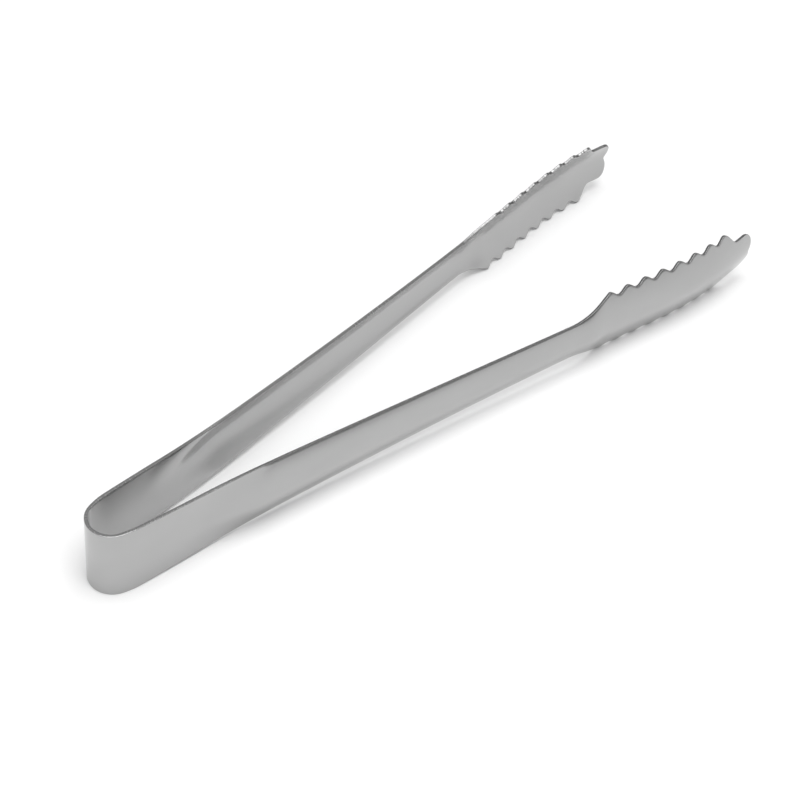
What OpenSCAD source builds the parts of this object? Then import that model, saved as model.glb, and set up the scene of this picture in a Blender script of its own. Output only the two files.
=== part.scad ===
// Sprung ice tongs, bent from one strip of stainless steel sheet.
// The tongs lie on one long edge of the strip: +X runs from the bow to the claws,
// +Y is across the arms and +Z is the width of the strip. The origin is the middle
// of the footprint, on the surface that the tongs lie on.
// The strip is built as the five lengths that move or work apart: the bow that
// springs, two arms dished to make them stiff, and two toothed claws.
// A place on the strip is given as s, the distance from the middle of the bow
// along the sheet, and z, the height above the strip's middle line.

/* [Sheet] */
// Thickness of the sheet
sheet_t = 0.7; // [0.5:0.05:0.9]
// Width of the strip round the bow, and of the claws over their teeth
strip_w = 16.8; // [15:0.1:20]
// Width of the arm at its narrow waist, just before the claw
waist_w = 9.5; // [8:0.1:12]
// How early the arm narrows: 1 is a straight taper, more is narrower sooner
taper_power = 1.4; // [1:0.1:2]
// How late the claw widens past the waist: 1 is straight, more is later
flare_power = 1.6; // [1:0.1:2.5]

/* [Plan shape] */
// Radius of the bow, to the middle of the sheet
bow_r = 4.7; // [4:0.1:6]
// Half the angle that the bow turns through
bow_half_angle = 73; // [66:1:78]
// Radius of the shoulder, where the bow runs out into the arm
shoulder_r = 20; // [15:1:30]
// Lean of the arm away from the middle plane, past the shoulder
arm_lean = 5.4; // [4.5:0.1:8]
// Further lean that the arm gains by the end of its claw
arm_spread = 3.8; // [2:0.1:6]
// Angle that the claw turns back inwards by its tip
claw_turn = 16.6; // [8:0.5:20]

/* [Lengths along the strip] */
// From the middle of the bow to the start of the taper
taper_start = 8.4; // [7:0.1:12]
// From the middle of the bow to the waist
waist_s = 121; // [115:0.5:126]
// From the middle of the bow to the first tooth
first_tooth_s = 131.8; // [128:0.1:133]
// From the middle of the bow to where the claw starts to turn inwards
turn_start = 141; // [130:0.1:150]
// From the middle of the bow to the tip of a claw
arm_len = 180; // [178:0.5:190]

/* [Dishing] */
// Where along the strip the arm is first fully dished
dish_full_s = 47; // [30:1:60]
// Radius of the dish there
arm_dish_r = 22; // [18:0.5:40]
// Radius of the dish at the waist
waist_dish_r = 16; // [12:0.1:30]
// Radius of the dish of the claw
claw_dish_r = 15.5; // [12:0.1:30]

/* [Teeth] */
// Teeth on each edge of a claw
teeth = 8; // [4:1:8]
// Distance from one tooth to the next
tooth_pitch = 5.35; // [4:0.05:5.4]
// Depth of the wave that the teeth make in the edge
tooth_depth = 1.2; // [0.6:0.1:2]
// From the last tooth to the wide valley before the tip
valley_step = 4.7; // [2.5:0.1:5]
// Half the width of the claw in that valley
valley_half_w = 5; // [4.6:0.1:6]
// Radius of the two round lobes that end the claw
lobe_r = 2.8; // [2.6:0.1:3.2]

/* [Hidden] */

steel = [0.72, 0.72, 0.71];
deg_per_rad = 180 / PI;

// Stations along the strip
bow_end_s = bow_r * bow_half_angle / deg_per_rad;
shoulder_end_s = bow_end_s + shoulder_r * (90 - bow_half_angle - arm_lean) / deg_per_rad;
last_tooth_s = first_tooth_s + (teeth - 1) * tooth_pitch;
valley_s = last_tooth_s + valley_step;

// The tip's lobes are circles that meet the claw's sides and cross at its middle
lobe_s = arm_len - lobe_r;
lobe_z = valley_half_w - lobe_r;
notch_angle = -asin(lobe_z / lobe_r);

// How finely the sheet is drawn
columns = 10;
arm_rows = 26;
flare_rows = 8;
rows_per_tooth = 4;
valley_rows = 3;
tip_rows = 4;
walk_steps = 400;

function clamp01(u) = min(max(u, 0), 1);
function eased(u) = let (c = clamp01(u)) c * c * (3 - 2 * c);
function mix(a, b, u) = a + (b - a) * u;

// Direction of the left arm in plan at s, as an angle from +X
function heading(s) =
    let (
        arm_part = clamp01((s - shoulder_end_s) / (arm_len - shoulder_end_s)),
        turn_part = clamp01((s - turn_start) / (arm_len - turn_start)),
        shoulder = 90 - bow_half_angle - (s - bow_end_s) * deg_per_rad / shoulder_r
    )
    s < shoulder_end_s ? shoulder : arm_lean + arm_spread * arm_part - claw_turn * pow(turn_part, 1.5);

// The left arm's middle line in plan, walked out from the end of the bow
walk_step = (arm_len - bow_end_s) / walk_steps;
bow_end = bow_r * [1 - cos(bow_half_angle), sin(bow_half_angle)];
function along(angle) = [cos(angle), sin(angle)];
middle_line = [
    for (i = 0, p = bow_end;
         i <= walk_steps;
         p = p + walk_step * along(heading(bow_end_s + (i + 0.5) * walk_step)), i = i + 1)
        p
];
function plan_at(s) =
    let (
        u = min(max((s - bow_end_s) / walk_step, 0), walk_steps),
        i = min(floor(u), walk_steps - 1)
    )
    mix(middle_line[i], middle_line[i + 1], u - i);

// Curvature of the dish across the strip at s: nothing at the bow, most in the claw
function dish_at(s) =
    s < waist_s
        ? mix(1 / arm_dish_r, 1 / waist_dish_r, clamp01((s - dish_full_s) / (waist_s - dish_full_s)))
            * eased((s - bow_end_s) / (dish_full_s - bow_end_s))
        : mix(1 / waist_dish_r, 1 / claw_dish_r, eased((s - waist_s) / (first_tooth_s - waist_s)));

// Half the width of the arm at s
function arm_half_w(s) =
    let (u = clamp01((s - taper_start) / (waist_s - taper_start)))
    mix(strip_w, waist_w, 1 - pow(1 - u, taper_power)) / 2;

// Half the width of the claw over its teeth, so that the sheet's outer corners reach strip_w
claw_half_w = strip_w / (2 + sheet_t / claw_dish_r);

// Smooth wave: 0 where u is even and 1 where it is odd
function wave(u) = pow(sin(90 * u), 2);

// Half the width of the claw at s, up to where the tip starts
function claw_half_w_at(s) =
    s < first_tooth_s
        ? mix(waist_w / 2, claw_half_w, pow(clamp01((s - waist_s) / (first_tooth_s - waist_s)), flare_power))
    : s < last_tooth_s ? claw_half_w - tooth_depth * wave(2 * (s - first_tooth_s) / tooth_pitch)
    : mix(claw_half_w, valley_half_w, wave((s - last_tooth_s) / valley_step));

// Round outline of the tip: v is 0 at the notch in its middle and 1 or -1 where a side begins
function tip_edge(v) =
    let (angle = mix(notch_angle, 90, abs(v)))
    [lobe_s + lobe_r * cos(angle), sign(v) * (lobe_z + lobe_r * sin(angle))];

// A corner of the sheet at [s, z]. side is 0.5 on the outer skin and -0.5 on the inner skin.
function skin_point(sz, side) =
    let (
        p = plan_at(sz[0]),
        angle = heading(sz[0]),
        dish = dish_at(sz[0]),
        tilt = asin(dish * sz[1]),
        sag = dish > 0 ? (1 - cos(tilt)) / dish : 0,
        out = side * sheet_t * cos(tilt) - sag
    )
    [p[0] - out * sin(angle), p[1] + out * cos(angle), sz[1] + side * sheet_t * sin(tilt)];

// Rows of [s, z] places across the sheet, from one edge to the other
function across(s, half_w) = [for (j = [0:columns]) [s, half_w * (2 * j / columns - 1)]];
arm_grid = [
    for (i = [0:arm_rows])
        let (s = mix(bow_end_s, waist_s, pow(i / arm_rows, 1.4)))
        across(s, arm_half_w(s))
];
claw_stations = [
    for (i = [0:flare_rows - 1]) mix(waist_s, first_tooth_s, i / flare_rows),
    for (i = [0:rows_per_tooth * (teeth - 1) - 1]) first_tooth_s + tooth_pitch * i / rows_per_tooth,
    for (i = [0:valley_rows]) mix(last_tooth_s, valley_s, i / valley_rows)
];
claw_grid = [
    for (s = claw_stations) across(s, claw_half_w_at(s)),
    for (i = [1:tip_rows])
        [for (j = [0:columns])
            let (v = 2 * j / columns - 1)
            mix([valley_s, v * valley_half_w], tip_edge(v), i / tip_rows)]
];

// The tongs' own corners, before the origin is moved to the middle of the footprint
claw_points = [
    for (side = [0.5, -0.5])
        for (row = claw_grid)
            for (sz = row)
                skin_point(sz, side)
];
arm_points = [
    for (side = [0.5, -0.5])
        for (row = arm_grid)
            for (sz = row)
                skin_point(sz, side)
];
tip_x = max([for (p = claw_points) p[0]]);
mid_x = (tip_x - sheet_t / 2) / 2;

// Faces of a sheet drawn as two grids of points, outer skin first, and the cut edges between
function split(q) = [[q[0], q[1], q[2]], [q[0], q[2], q[3]]];
function sheet_faces(rows) =
    let (
        wide = columns + 1,
        inner = (rows + 1) * wide,
        quads = [
            for (i = [0:rows - 1])
                for (j = [0:columns - 1])
                    let (a = i * wide + j, b = a + wide)
                    each [[a, b, b + 1, a + 1], [inner + a + 1, inner + b + 1, inner + b, inner + a]],
            for (i = [0:rows - 1])
                let (a = i * wide, b = a + wide, c = a + columns, d = b + columns)
                each [[b, a, inner + a, inner + b], [c, d, inner + d, inner + c]],
            for (j = [0:columns - 1])
                let (a = j, b = rows * wide + j)
                each [[a, a + 1, inner + a + 1, inner + a], [b + 1, b, inner + b, inner + b + 1]]
        ]
    )
    [for (q = quads) each split(q)];

module placed() {
    translate([-mid_x, 0, strip_w / 2]) children();
}

// The springy bow: a plain round bend in the flat sheet
module spring_bow() {
    color(steel)
        placed()
            translate([bow_r, 0, -strip_w / 2])
                rotate(180 - bow_half_angle)
                    rotate_extrude(angle = 2 * bow_half_angle, $fn = 96)
                        translate([bow_r - sheet_t / 2, 0])
                            square([sheet_t, strip_w]);
}

module arm() {
    placed() polyhedron(points = arm_points, faces = sheet_faces(len(arm_grid) - 1));
}

module claw() {
    placed() polyhedron(points = claw_points, faces = sheet_faces(len(claw_grid) - 1));
}

module left_arm() {
    color(steel) arm();
}

module right_arm() {
    color(steel) mirror([0, 1, 0]) arm();
}

module left_claw() {
    color(steel) claw();
}

module right_claw() {
    color(steel) mirror([0, 1, 0]) claw();
}

spring_bow();
left_arm();
right_arm();
left_claw();
right_claw();
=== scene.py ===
"""Sprung stainless ice tongs: the looks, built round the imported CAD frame.

The real tongs are one strip of sheet, so every piece is made from the same unrolled blank: a place
on it is s, the distance along the sheet from the middle of the bow, and z, the height above the
strip's middle line, both in millimetres. The blank is bent along the CAD's plan. Its dish is
pressed as the real one is, with the long edges where the CAD has them.
"""

import math

import bpy
import numpy as np
from mathutils import Matrix, Vector


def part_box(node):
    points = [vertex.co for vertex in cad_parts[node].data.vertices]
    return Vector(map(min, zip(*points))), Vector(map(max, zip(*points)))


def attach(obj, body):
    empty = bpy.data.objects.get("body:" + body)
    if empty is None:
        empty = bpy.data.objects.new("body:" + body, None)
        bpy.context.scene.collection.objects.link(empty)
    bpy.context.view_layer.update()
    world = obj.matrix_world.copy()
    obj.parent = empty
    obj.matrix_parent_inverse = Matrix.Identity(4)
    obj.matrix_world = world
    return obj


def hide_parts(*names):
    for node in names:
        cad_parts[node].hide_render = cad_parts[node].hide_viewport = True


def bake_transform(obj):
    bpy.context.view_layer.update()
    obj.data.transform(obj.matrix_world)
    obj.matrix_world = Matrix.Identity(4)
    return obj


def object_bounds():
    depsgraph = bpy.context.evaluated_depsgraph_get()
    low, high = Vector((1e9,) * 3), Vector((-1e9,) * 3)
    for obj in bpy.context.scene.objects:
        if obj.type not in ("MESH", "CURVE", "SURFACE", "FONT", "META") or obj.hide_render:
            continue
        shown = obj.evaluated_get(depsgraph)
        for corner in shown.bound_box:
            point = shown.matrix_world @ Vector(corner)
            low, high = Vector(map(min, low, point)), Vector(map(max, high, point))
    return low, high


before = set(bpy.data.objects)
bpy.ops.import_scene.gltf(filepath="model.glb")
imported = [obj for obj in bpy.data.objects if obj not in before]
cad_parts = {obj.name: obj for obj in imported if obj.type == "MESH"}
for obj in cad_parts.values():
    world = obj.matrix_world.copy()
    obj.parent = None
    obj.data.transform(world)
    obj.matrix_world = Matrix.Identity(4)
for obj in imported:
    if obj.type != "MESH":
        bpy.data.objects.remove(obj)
cad_low, cad_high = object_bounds()

# ---------------------------------------------------------------- driving sizes, millimetres
MM = 0.001  # metres

SHEET_T = 0.7
STRIP_W = 16.8
WAIST_W = 9.5
TAPER_POWER = 1.4
FLARE_POWER = 1.6

BOW_R = 4.7
BOW_HALF_ANGLE = math.radians(73)
SHOULDER_R = 20
ARM_LEAN = math.radians(5.4)
ARM_SPREAD = math.radians(3.8)
CLAW_TURN = math.radians(16.6)

TAPER_START = 8.4
WAIST_S = 121
FIRST_TOOTH_S = 131.8
TURN_START = 141
ARM_LEN = 180

DISH_FULL_S = 47
ARM_DISH_R = 22
WAIST_DISH_R = 16
CLAW_DISH_R = 15.5

TEETH = 8
TOOTH_PITCH = 5.35
TOOTH_DEPTH = 1.2
VALLEY_STEP = 4.7
VALLEY_HALF_W = 5
LOBE_R = 2.8

EDGE_R = 0.12  # rounding of the deburred edges
NOTCH_SOFT = 0.35  # how softly the notch between the tip's lobes is rounded

# The CAD's dish is a plain arc that grows gently from the bow. The real one is pressed in more
# suddenly: it starts as a tongue in the middle, and is a round trough between straight flanges.
PRESS_START_S = 17
PRESS_FULL_S = 36
PRESS_LAG = 5  # how much further along the strip the edges are pressed than the middle
TROUGH_R = 8
ARM_FLANGE_SLOPE = 0.6  # where the press is first full
WAIST_FLANGE_SLOPE = 0.9
CLAW_FLANGE_SLOPE = 0.5

# ---------------------------------------------------------------- stations along the strip
BOW_END_S = BOW_R * BOW_HALF_ANGLE
SHOULDER_END_S = BOW_END_S + SHOULDER_R * (math.pi / 2 - BOW_HALF_ANGLE - ARM_LEAN)
LAST_TOOTH_S = FIRST_TOOTH_S + (TEETH - 1) * TOOTH_PITCH
VALLEY_S = LAST_TOOTH_S + VALLEY_STEP
CLAW_HALF_W = STRIP_W / (2 + SHEET_T / CLAW_DISH_R)
LOBE_S = ARM_LEN - LOBE_R
LOBE_Z = VALLEY_HALF_W - LOBE_R

# The middle of the bow's sheet sits half a thickness inside the back of the CAD's bow
BOW_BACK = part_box("spring_bow")[0]
ORIGIN = np.array([BOW_BACK.x / MM + SHEET_T / 2, 0, BOW_BACK.z / MM + STRIP_W / 2])


def mix(a, b, u):
    return a + (b - a) * u


def clamp01(u):
    return np.clip(u, 0, 1)


def eased(u):
    c = clamp01(u)
    return c * c * (3 - 2 * c)


# ---------------------------------------------------------------- the blank's outline
def arm_half_w(s):
    """Half the width of the bow and the arm."""
    u = clamp01((s - TAPER_START) / (WAIST_S - TAPER_START))
    return mix(STRIP_W, WAIST_W, 1 - (1 - u) ** TAPER_POWER) / 2


def wave(u):
    """Smooth wave: 0 where u is even and 1 where it is odd."""
    return np.sin(math.pi / 2 * u) ** 2


def claw_half_w(s):
    """Half the width of the claw over its teeth, up to where the tip starts."""
    flare = clamp01((s - WAIST_S) / (FIRST_TOOTH_S - WAIST_S)) ** FLARE_POWER
    flared = mix(WAIST_W / 2, CLAW_HALF_W, flare)
    toothed = CLAW_HALF_W - TOOTH_DEPTH * wave(2 * (s - FIRST_TOOTH_S) / TOOTH_PITCH)
    flank = mix(CLAW_HALF_W, VALLEY_HALF_W, wave((s - LAST_TOOTH_S) / VALLEY_STEP))
    return np.where(s < FIRST_TOOTH_S, flared, np.where(s < LAST_TOOTH_S, toothed, flank))


def tip_edge(v, inset):
    """The claw's end as (s, z): v runs from -1 to 1 between its sides, with the notch at 0."""
    radius = LOBE_R - inset
    angle = mix(-math.asin(LOBE_Z / radius), math.pi / 2, np.abs(v))
    z = LOBE_Z + radius * np.sin(angle)
    from_lobe = np.hypot(z, NOTCH_SOFT * (1 - np.abs(v))) - LOBE_Z
    s = LOBE_S + np.sqrt(np.maximum(radius**2 - from_lobe**2, 0))
    return np.stack([s, np.sign(v) * z], -1)


# ---------------------------------------------------------------- the bent, dished sheet
WALK_STEP = 0.1  # length of the steps in which the strip's plan is walked out
SLOPE_STEP = 0.01  # half the width over which the section's slope is measured
FLAT = 1e-9  # a curvature too small to see, which stands for no dish


def heading(s):
    """Direction of the left half of the strip in plan, as an angle from +X."""
    arm_part = clamp01((s - SHOULDER_END_S) / (ARM_LEN - SHOULDER_END_S))
    turn_part = clamp01((s - TURN_START) / (ARM_LEN - TURN_START))
    bow = math.pi / 2 - s / BOW_R
    shoulder = math.pi / 2 - BOW_HALF_ANGLE - (s - BOW_END_S) / SHOULDER_R
    arm = ARM_LEAN + ARM_SPREAD * arm_part - CLAW_TURN * turn_part**1.5
    return np.where(s < BOW_END_S, bow, np.where(s < SHOULDER_END_S, shoulder, arm))


walk_s = np.arange(0, ARM_LEN + 1, WALK_STEP)
walk_heading = heading(walk_s[:-1] + WALK_STEP / 2)
walk_x = np.concatenate([[0], np.cumsum(np.cos(walk_heading) * WALK_STEP)])
walk_y = np.concatenate([[0], np.cumsum(np.sin(walk_heading) * WALK_STEP)])


def flare_part(s):
    """0 along the arm and 1 in the claw."""
    return eased((s - WAIST_S) / (FIRST_TOOTH_S - WAIST_S))


def cad_sag(s, z):
    """How far the CAD's dish draws the sheet in at height z."""
    along_arm = clamp01((s - DISH_FULL_S) / (WAIST_S - DISH_FULL_S))
    arm = mix(1 / ARM_DISH_R, 1 / WAIST_DISH_R, along_arm)
    arm = arm * eased((s - BOW_END_S) / (DISH_FULL_S - BOW_END_S))
    curvature = np.maximum(mix(arm, 1 / CLAW_DISH_R, flare_part(s)), FLAT)
    return (1 - np.sqrt(1 - (curvature * z) ** 2)) / curvature


def pressed_sag(s, z):
    """How far the real section, a round trough between flanges, draws the sheet in."""
    along_arm = clamp01((s - PRESS_FULL_S) / (WAIST_S - PRESS_FULL_S))
    slope = mix(mix(ARM_FLANGE_SLOPE, WAIST_FLANGE_SLOPE, along_arm), CLAW_FLANGE_SLOPE, flare_part(s))
    trough_half_w = slope * TROUGH_R
    lag = PRESS_LAG * (z / arm_half_w(s)) ** 2
    amount = eased((s - lag - PRESS_START_S) / (PRESS_FULL_S - PRESS_START_S))
    return amount * slope * (np.hypot(z, trough_half_w) - trough_half_w)


def sheet_points(s, z, side):
    """Points of the sheet in metres. side is 0.5 on the outer skin and -0.5 on the inner one.
    Negative s is the right half of the strip."""
    reach = np.abs(s)
    across = np.where(s < 0, -1.0, 1.0)
    slope = (pressed_sag(reach, z + SLOPE_STEP) - pressed_sag(reach, z - SLOPE_STEP)) / (2 * SLOPE_STEP)
    tilt = np.arctan(slope)
    tip_part = eased((reach - TURN_START) / (VALLEY_S - TURN_START))
    edge = mix(arm_half_w(reach), mix(CLAW_HALF_W, VALLEY_HALF_W, tip_part), flare_part(reach))
    edge_shift = pressed_sag(reach, edge) - cad_sag(reach, edge)  # keeps the edges on the CAD's line
    out = side * SHEET_T * np.cos(tilt) - pressed_sag(reach, z) + edge_shift
    angle = heading(reach)
    x = np.interp(reach, walk_s, walk_x) - out * np.sin(angle)
    y = (np.interp(reach, walk_s, walk_y) + out * np.cos(angle)) * across
    return (np.stack([x, y, z + side * SHEET_T * np.sin(tilt)], -1) + ORIGIN) * MM


# ---------------------------------------------------------------- mesh building
COLUMNS = 24
ROUND_STEPS = 4
BOW_ROWS = 72
ARM_ROWS = 160
ARM_ROW_POWER = 1.3  # more than 1 sets the arm's rows closer together near the bow
FLARE_ROWS = 30
ROWS_PER_TOOTH = 20
VALLEY_ROWS = 18
TIP_ROWS = 12
SUPPORT = 0.02  # a ring this close to a seam gives both sides of it the same shading
UV_MM = 10  # one unit of the blank's UV map
UV_SKIN_STEP = 4  # how far the inner skin and the rim are moved in the UV map
ARM_SHEAR_AND_SHADE = 0.3  # how much of the teeth's rough sheared finish, and of the painted shade that darkens their cut edges, the cut edges of the bow and arms get


def rim_profile():
    """(inset from the edge, side) pairs from the outer skin, round the cut edge, to the inner skin."""
    flat = 0.5 - EDGE_R / SHEET_T
    turns = np.linspace(0, math.pi / 2, ROUND_STEPS + 1)
    outer = [(EDGE_R * (1 - math.sin(a)), flat + EDGE_R / SHEET_T * math.cos(a)) for a in turns]
    return outer + [(inset, -side) for inset, side in reversed(outer)]


def blank_rows(stations, half_w, tip):
    """The skins' grid of (s, z) rows inside the rounded edges, and the cut edge beside each row's
    ends. tip adds the rows that close a claw's end."""
    edge = np.stack([stations, half_w], -1)
    step = np.gradient(edge, axis=0)
    inward = np.stack([step[:, 1], -step[:, 0]], -1)
    inward /= np.linalg.norm(inward, axis=1)[:, None]
    inward[0] = inward[-1] = (0, -1)
    inner = edge + EDGE_R * inward
    v = np.linspace(-1, 1, COLUMNS + 1)
    s_rows = stations[:, None] + (inner[:, 0] - stations)[:, None] * v**4
    grid = np.stack([s_rows, inner[:, 1][:, None] * v], -1)
    if not tip:
        return grid, edge
    last, end = grid[-1], tip_edge(v, EDGE_R)
    side = np.array([LOBE_S, VALLEY_HALF_W])
    parts = np.arange(1, TIP_ROWS + 1) / TIP_ROWS
    grid = np.concatenate([grid, [mix(last, end, u) for u in parts]])
    edge = np.concatenate([edge, [mix(edge[-1], side, u) for u in parts]])
    return grid, edge


class Sheet:
    """One length of the strip, gathered as places on the blank and the faces between them."""

    def __init__(self, stations, half_w, tip, mirrored):
        self.grid, self.edge = blank_rows(stations, half_w, tip)
        self.rows, self.cols = self.grid.shape[0] - 1, self.grid.shape[1] - 1
        self.tip = tip
        self.turn = -1 if mirrored else 1
        self.blanks = []
        self.sides = []
        self.faces = []
        self.uvs = []
        self.cut = []

    def skin_vertex(self, i, j, outer):
        first = 0 if outer else (self.rows + 1) * (self.cols + 1)
        return first + i * (self.cols + 1) + j

    def add_face(self, corners, coords, is_cut=False):
        self.faces.append(corners[:: self.turn])
        self.uvs.append(coords[:: self.turn])
        self.cut.append(is_cut)

    def add_skins(self):
        """The outer and inner faces of the sheet, up to where its edges are rounded."""
        for side in (0.5, -0.5):
            self.blanks += self.grid.reshape(-1, 2).tolist()
            self.sides += [side] * (self.rows + 1) * (self.cols + 1)
        for i in range(self.rows):
            for j in range(self.cols):
                places = [(i, j), (i, j + 1), (i + 1, j + 1), (i + 1, j)]
                for outer in (True, False):
                    order = places if outer else places[::-1]
                    shift = 0 if outer else UV_SKIN_STEP
                    coords = [self.skin_uv(place, shift) for place in order]
                    self.add_face([self.skin_vertex(*place, outer) for place in order], coords)

    def skin_uv(self, place, shift):
        s, z = self.grid[place]
        return self.turn * s / UV_MM, z / UV_MM + shift

    def borders(self):
        """The lines that the cut edges follow, as pairs of a place in the grid and the point of the
        outline beside it. A claw has one, which runs out along its lower edge, round the tip and
        back along its upper edge. Any other length has one for each edge."""
        lower = [((i, 0), self.edge[i] * (1, -1)) for i in range(self.rows + 1)]
        upper = [((i, self.cols), self.edge[i]) for i in range(self.rows, -1, -1)]
        if not self.tip:
            return [lower, upper]
        v = np.linspace(-1, 1, self.cols + 1)
        round_tip = [((self.rows, j), tip_edge(v[j], 0)) for j in range(1, self.cols)]
        return [lower + round_tip + upper]

    def add_rim(self, border):
        """The rounded edge along a border. Returns the row of vertices across it at each point."""
        profile = rim_profile()
        crossings = []
        for place, outline in border:
            crossing = [self.skin_vertex(*place, True)]
            for inset, side in profile[1:-1]:
                crossing.append(len(self.blanks))
                self.blanks.append(mix(np.array(outline), self.grid[place], inset / EDGE_R).tolist())
                self.sides.append(side)
            crossings.append(crossing + [self.skin_vertex(*place, False)])
        run = 0
        for (_, near), (_, far), a, b in zip(border, border[1:], crossings, crossings[1:]):
            step = float(np.linalg.norm(np.subtract(far, near)))
            for p in range(len(profile) - 1):
                u0, u1 = run / UV_MM, (run + step) / UV_MM
                v0 = 2 * UV_SKIN_STEP + p * EDGE_R / UV_MM
                v1 = v0 + EDGE_R / UV_MM
                coords = [(u0, v0), (u1, v0), (u1, v1), (u0, v1)]
                self.add_face([a[p], b[p], b[p + 1], a[p + 1]], coords)
            run += step
        return crossings

    def add_cut(self, i, lower_rim, upper_rim, flip):
        """The flat cut across the strip at row i."""
        for j in range(self.cols):
            corners = [
                self.skin_vertex(i, j + 1, True),
                self.skin_vertex(i, j, True),
                self.skin_vertex(i, j, False),
                self.skin_vertex(i, j + 1, False),
            ]
            self.add_face(corners[::flip], [(0, 0)] * len(corners), True)
        self.add_face(lower_rim[::flip], [(0, 0)] * len(lower_rim), True)
        self.add_face(upper_rim[::-flip], [(0, 0)] * len(upper_rim), True)

    def bent_mesh(self, name):
        """The blank bent into shape, as a mesh that knows its UVs and which vertices carry the sheared
        finish and the painted shade of the cut edges.
        """
        blanks = np.array(self.blanks)
        sides = np.array(self.sides)
        points = sheet_points(blanks[:, 0], blanks[:, 1], sides)
        points[:, 1] *= self.turn
        mesh = bpy.data.meshes.new(name)
        mesh.from_pydata(points.tolist(), [], self.faces)
        mesh.polygons.foreach_set("use_smooth", [not c for c in self.cut])
        uv_map = mesh.uv_layers.new(name="blank")
        uv_map.data.foreach_set("uv", [c for coords in self.uvs for uv in coords for c in uv])
        # the rim vertices are marked for the rough sheared finish and for the painted shade that
        # darkens the cut edges' colour
        shear_and_shade = mesh.attributes.new("shear_and_shade", "FLOAT", "POINT")
        on_rim = (np.abs(sides) < 0.5).astype(np.float32)
        shear_and_shade.data.foreach_set("value", on_rim * (1 if self.tip else ARM_SHEAR_AND_SHADE))
        mesh.update()
        return mesh


def add_sheet(name, stations, half_w, tip=False, mirrored=False):
    """One length of the strip as a closed mesh with rounded edges and flat cuts at its seams."""
    sheet = Sheet(stations, half_w, tip, mirrored)
    sheet.add_skins()
    rims = [sheet.add_rim(border) for border in sheet.borders()]
    sheet.add_cut(0, rims[0][0], rims[-1][-1], 1)
    if not tip:
        sheet.add_cut(sheet.rows, rims[0][-1], rims[1][0], -1)
    piece = bpy.data.objects.new(name, sheet.bent_mesh(name))
    bpy.context.scene.collection.objects.link(piece)
    return piece


def with_supports(stations):
    """Adds a ring just inside each end."""
    ends = [stations[0] + SUPPORT, stations[-1] - SUPPORT]
    return np.sort(np.concatenate([stations, ends]))


def bow_stations():
    return with_supports(np.linspace(-BOW_END_S, BOW_END_S, BOW_ROWS + 1))


def arm_stations():
    parts = np.linspace(0, 1, ARM_ROWS + 1) ** ARM_ROW_POWER
    return with_supports(mix(BOW_END_S, WAIST_S, parts))


def claw_stations():
    """Only the seam has a ring beside it, because the other end runs on into the tip."""
    flare = mix(WAIST_S, FIRST_TOOTH_S, np.linspace(0, 1, FLARE_ROWS + 1))
    teeth = np.linspace(FIRST_TOOTH_S, LAST_TOOTH_S, (TEETH - 1) * ROWS_PER_TOOTH + 1)
    flank = np.linspace(LAST_TOOTH_S, VALLEY_S, VALLEY_ROWS + 1)
    stations = np.concatenate([flare, teeth[1:], flank[1:]])
    return np.insert(stations, 1, stations[0] + SUPPORT)


# ---------------------------------------------------------------- materials
# Noise scales are in cycles per UV unit, along the strip and across it
GRAIN_SCALE = (3, 90)
CLOUD_SCALE = (0.7, 1.5)
TEAR_SCALE = (25, 3)
NOISE_LOW, NOISE_HIGH = 0.3, 0.7  # most of the noise lies between these

SKIN_TONE = (0.42, 0.42, 0.42)
GRAIN_TONES = (0.985, 1.015)
CLOUD_TONES = (0.98, 1.02)
# painted shade: the cut edges are coloured darker than the skin, partly for their sheared finish and
# partly to stand in for the dim reflections that make them look dark
SHEARED_AND_SHADED_EDGE_COLOUR = (0.26, 0.26, 0.26, 1)
GRAIN_ROUGHNESS = (-0.015, 0.015)
CLOUD_ROUGHNESS = (0.18, 0.22)
TEAR_ROUGHNESS = (0.25, 0.45)
GRAIN_STRENGTH = 0.06
GRAIN_DEPTH = 0.02 * MM
TEAR_DEPTH = 0.1 * MM

FLOOR_COLOUR = (0.9, 0.9, 0.9, 1)
FLOOR_ROUGHNESS = 0.9


def node(tree, kind, inputs=(), **settings):
    """Adds a node. inputs gives its sockets values, or other nodes' outputs to link to."""
    made = tree.nodes.new(kind)
    for key, value in settings.items():
        setattr(made, key, value)
    for key, value in dict(inputs).items():
        if isinstance(value, bpy.types.NodeSocket):
            tree.links.new(value, made.inputs[key])
        else:
            made.inputs[key].default_value = value
    return made


def scaled_noise(tree, coords, scale, detail, roughness=0.5):
    """Noise stretched by the scale's two parts."""
    mapping = node(tree, "ShaderNodeMapping", {"Vector": coords, "Scale": (*scale, 1)})
    noise = node(
        tree,
        "ShaderNodeTexNoise",
        {"Vector": mapping.outputs[0], "Scale": 1.0, "Detail": detail, "Roughness": roughness},
        noise_dimensions="2D",
    )
    return noise.outputs["Fac"]


def spread(tree, noise, ends):
    """Maps noise to the range between two ends."""
    low, high = ends
    ranged = node(
        tree,
        "ShaderNodeMapRange",
        {"Value": noise, "From Min": NOISE_LOW, "From Max": NOISE_HIGH, "To Min": low, "To Max": high},
    )
    return ranged.outputs["Result"]


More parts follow.
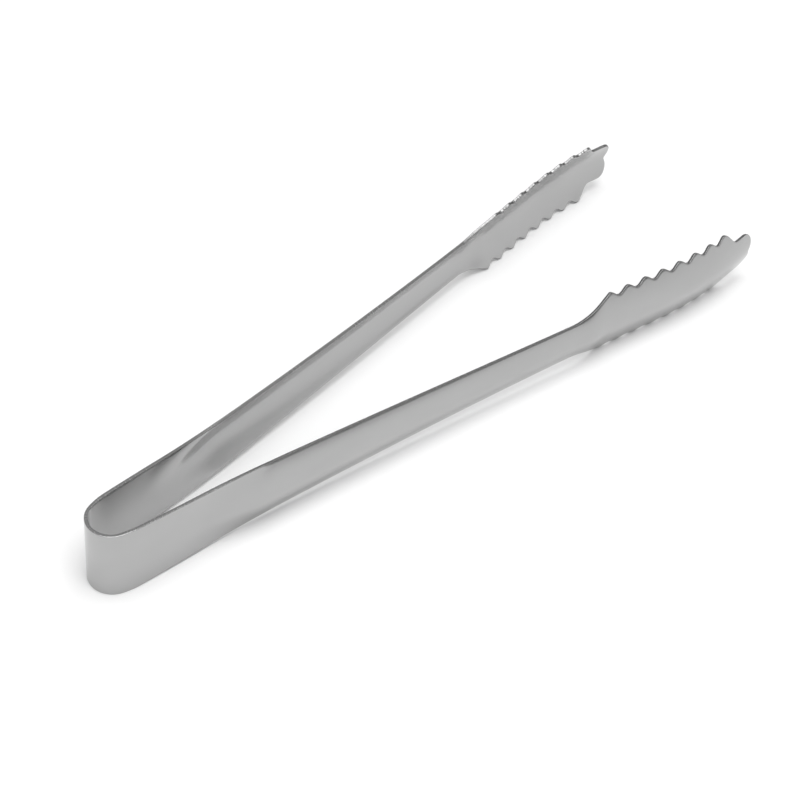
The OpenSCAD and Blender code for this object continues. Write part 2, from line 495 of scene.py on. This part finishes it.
def satin_steel():
    """Fine-ground stainless sheet: grain along the strip, faint clouds, and rough sheared edges whose
    darker colour is partly their finish and partly painted shade for the dim reflections that make them
    look dark.
    """
    material = bpy.data.materials.new("satin_steel")
    material.use_nodes = True
    tree = material.node_tree
    shader = tree.nodes["Principled BSDF"]
    coords = node(tree, "ShaderNodeUVMap", uv_map="blank").outputs["UV"]
    sheared_and_shaded = node(tree, "ShaderNodeAttribute", attribute_name="shear_and_shade").outputs["Fac"]

    grain = scaled_noise(tree, coords, GRAIN_SCALE, detail=4, roughness=0.6)
    clouds = scaled_noise(tree, coords, CLOUD_SCALE, detail=3)
    tears = scaled_noise(tree, coords, TEAR_SCALE, detail=2)

    tone = node(
        tree,
        "ShaderNodeMath",
        {0: spread(tree, grain, GRAIN_TONES), 1: spread(tree, clouds, CLOUD_TONES)},
        operation="MULTIPLY",
    ).outputs[0]
    skin = node(tree, "ShaderNodeVectorMath", {0: SKIN_TONE, 1: tone}, operation="MULTIPLY")
    # painted shade: the cut edges are mixed towards the darker edge colour, which stands partly for
    # their sheared finish and partly for the dim reflections they show
    edge = node(
        tree,
        "ShaderNodeMix",
        {"Factor": sheared_and_shaded, "A": skin.outputs[0], "B": SHEARED_AND_SHADED_EDGE_COLOUR},
        data_type="RGBA",
    )
    tree.links.new(edge.outputs["Result"], shader.inputs["Base Color"])

    ground = node(
        tree,
        "ShaderNodeMath",
        {0: spread(tree, grain, GRAIN_ROUGHNESS), 1: spread(tree, clouds, CLOUD_ROUGHNESS)},
        operation="ADD",
    )
    roughness = node(
        tree,
        "ShaderNodeMix",
        {"Factor": sheared_and_shaded, "A": ground.outputs[0], "B": spread(tree, tears, TEAR_ROUGHNESS)},
    )
    tree.links.new(roughness.outputs["Result"], shader.inputs["Roughness"])

    grain_bump = node(
        tree,
        "ShaderNodeBump",
        {"Height": grain, "Strength": GRAIN_STRENGTH, "Distance": GRAIN_DEPTH},
    )
    shear_bump = node(
        tree,
        "ShaderNodeBump",
        {"Height": tears, "Strength": sheared_and_shaded, "Distance": TEAR_DEPTH, "Normal": grain_bump.outputs[0]},
    )
    tree.links.new(shear_bump.outputs["Normal"], shader.inputs["Normal"])
    shader.inputs["Metallic"].default_value = 1
    return material


def pale_floor():
    material = bpy.data.materials.new("pale_floor")
    material.use_nodes = True
    shader = material.node_tree.nodes["Principled BSDF"]
    shader.inputs["Base Color"].default_value = FLOOR_COLOUR
    shader.inputs["Roughness"].default_value = FLOOR_ROUGHNESS
    return material


steel = satin_steel()


def finish_piece(piece, cad_node):
    """Gives a piece its steel and lets it stand for its CAD node."""
    piece.data.materials.append(steel)
    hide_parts(cad_node)
    return piece


bow = add_sheet("bow_bend", bow_stations(), arm_half_w(np.abs(bow_stations())))
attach(finish_piece(bow, "spring_bow"), "bow")

for hand, body, mirrored in (("left", "left_side", False), ("right", "right_side", True)):
    arm = add_sheet(f"{hand}_arm_sheet", arm_stations(), arm_half_w(arm_stations()), mirrored=mirrored)
    finish_piece(arm, f"{hand}_arm")
    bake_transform(arm)

    claw = add_sheet(
        f"{hand}_claw_sheet",
        claw_stations(),
        claw_half_w(claw_stations()),
        tip=True,
        mirrored=mirrored,
    )
    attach(finish_piece(claw, f"{hand}_claw"), body)

# ---------------------------------------------------------------- floor, light and camera
# Distances and sizes are in metres here, apart from the lens and its sensor
centre = (cad_low + cad_high) / 2

FLOOR_LENGTHS = 12  # the floor's side, in lengths of the tongs

CAMERA_AZIMUTH = math.radians(-50.16)
CAMERA_ELEVATION = math.radians(44.41)
CAMERA_ROLL = math.radians(7.91)
CAMERA_DISTANCE = 0.3521
CAMERA_LENS_MM = 75.53
CAMERA_SENSOR_MM = 36
CAMERA_CLIP_START = 0.01
CAMERA_AIM = centre + Vector((-0.01309, -0.00657, 0))

LIGHT_DISTANCE = 1.2
WORLD_HORIZON = 0.25  # the walls' strength at the horizon
WORLD_TOP = 0.5  # and overhead
WORLD_TOP_FROM = 0.7  # sine of the elevation from which it is full


def look_from(azimuth, elevation):
    """Unit vector from the object towards a viewer at that azimuth and elevation."""
    flat = math.cos(elevation)
    return Vector((math.sin(azimuth) * flat, -math.cos(azimuth) * flat, math.sin(elevation)))


def add_floor():
    size = FLOOR_LENGTHS * (cad_high.x - cad_low.x)
    bpy.ops.mesh.primitive_plane_add(size=size, location=(centre.x, centre.y, cad_low.z))
    floor = bpy.context.object
    floor.name = "floor"
    floor.data.materials.append(pale_floor())


def add_camera():
    back = look_from(CAMERA_AZIMUTH, CAMERA_ELEVATION)
    right = Vector((0, 0, 1)).cross(back).normalized()
    up = back.cross(right)
    rolled_right = right * math.cos(CAMERA_ROLL) + up * math.sin(CAMERA_ROLL)
    rolled_up = up * math.cos(CAMERA_ROLL) - right * math.sin(CAMERA_ROLL)
    data = bpy.data.cameras.new("camera")
    data.lens = CAMERA_LENS_MM
    data.sensor_width = CAMERA_SENSOR_MM
    data.clip_start = CAMERA_CLIP_START
    camera = bpy.data.objects.new("camera", data)
    axes = Matrix((rolled_right, rolled_up, back)).transposed().to_4x4()
    camera.matrix_world = Matrix.Translation(CAMERA_AIM + back * CAMERA_DISTANCE) @ axes
    bpy.context.scene.collection.objects.link(camera)
    bpy.context.scene.camera = camera


def add_softbox(name, azimuth, elevation, size, power):
    """A rectangular light that faces the tongs. Its angles are in degrees and its power in watts."""
    back = look_from(math.radians(azimuth), math.radians(elevation))
    data = bpy.data.lights.new(name, "AREA")
    data.shape = "RECTANGLE"
    data.size, data.size_y = size
    data.energy = power
    light = bpy.data.objects.new(name, data)
    facing = back.to_track_quat("Z", "Y").to_matrix().to_4x4()
    light.matrix_world = Matrix.Translation(centre + back * LIGHT_DISTANCE) @ facing
    bpy.context.scene.collection.objects.link(light)


def studio_world():
    """Walls that are dim at the horizon and pale overhead."""
    made = bpy.data.worlds.new("studio")
    made.use_nodes = True
    tree = made.node_tree
    direction = node(tree, "ShaderNodeTexCoord").outputs["Generated"]
    height = node(tree, "ShaderNodeSeparateXYZ", {0: direction}).outputs["Z"]
    wall = node(
        tree,
        "ShaderNodeMapRange",
        {
            "Value": height,
            "From Min": 0,
            "From Max": WORLD_TOP_FROM,
            "To Min": WORLD_HORIZON,
            "To Max": WORLD_TOP,
        },
        interpolation_type="SMOOTHSTEP",
    )
    tree.links.new(wall.outputs["Result"], tree.nodes["Background"].inputs["Strength"])
    tree.nodes["Background"].inputs["Color"].default_value = (1, 1, 1, 1)
    return made


add_floor()
add_camera()
add_softbox("overhead", azimuth=-30, elevation=84, size=(0.9, 0.9), power=11.5)
add_softbox("front", azimuth=-25, elevation=60, size=(1.2, 0.8), power=2)
bpy.context.scene.world = studio_world()
bpy.context.scene.view_settings.view_transform = "Standard"
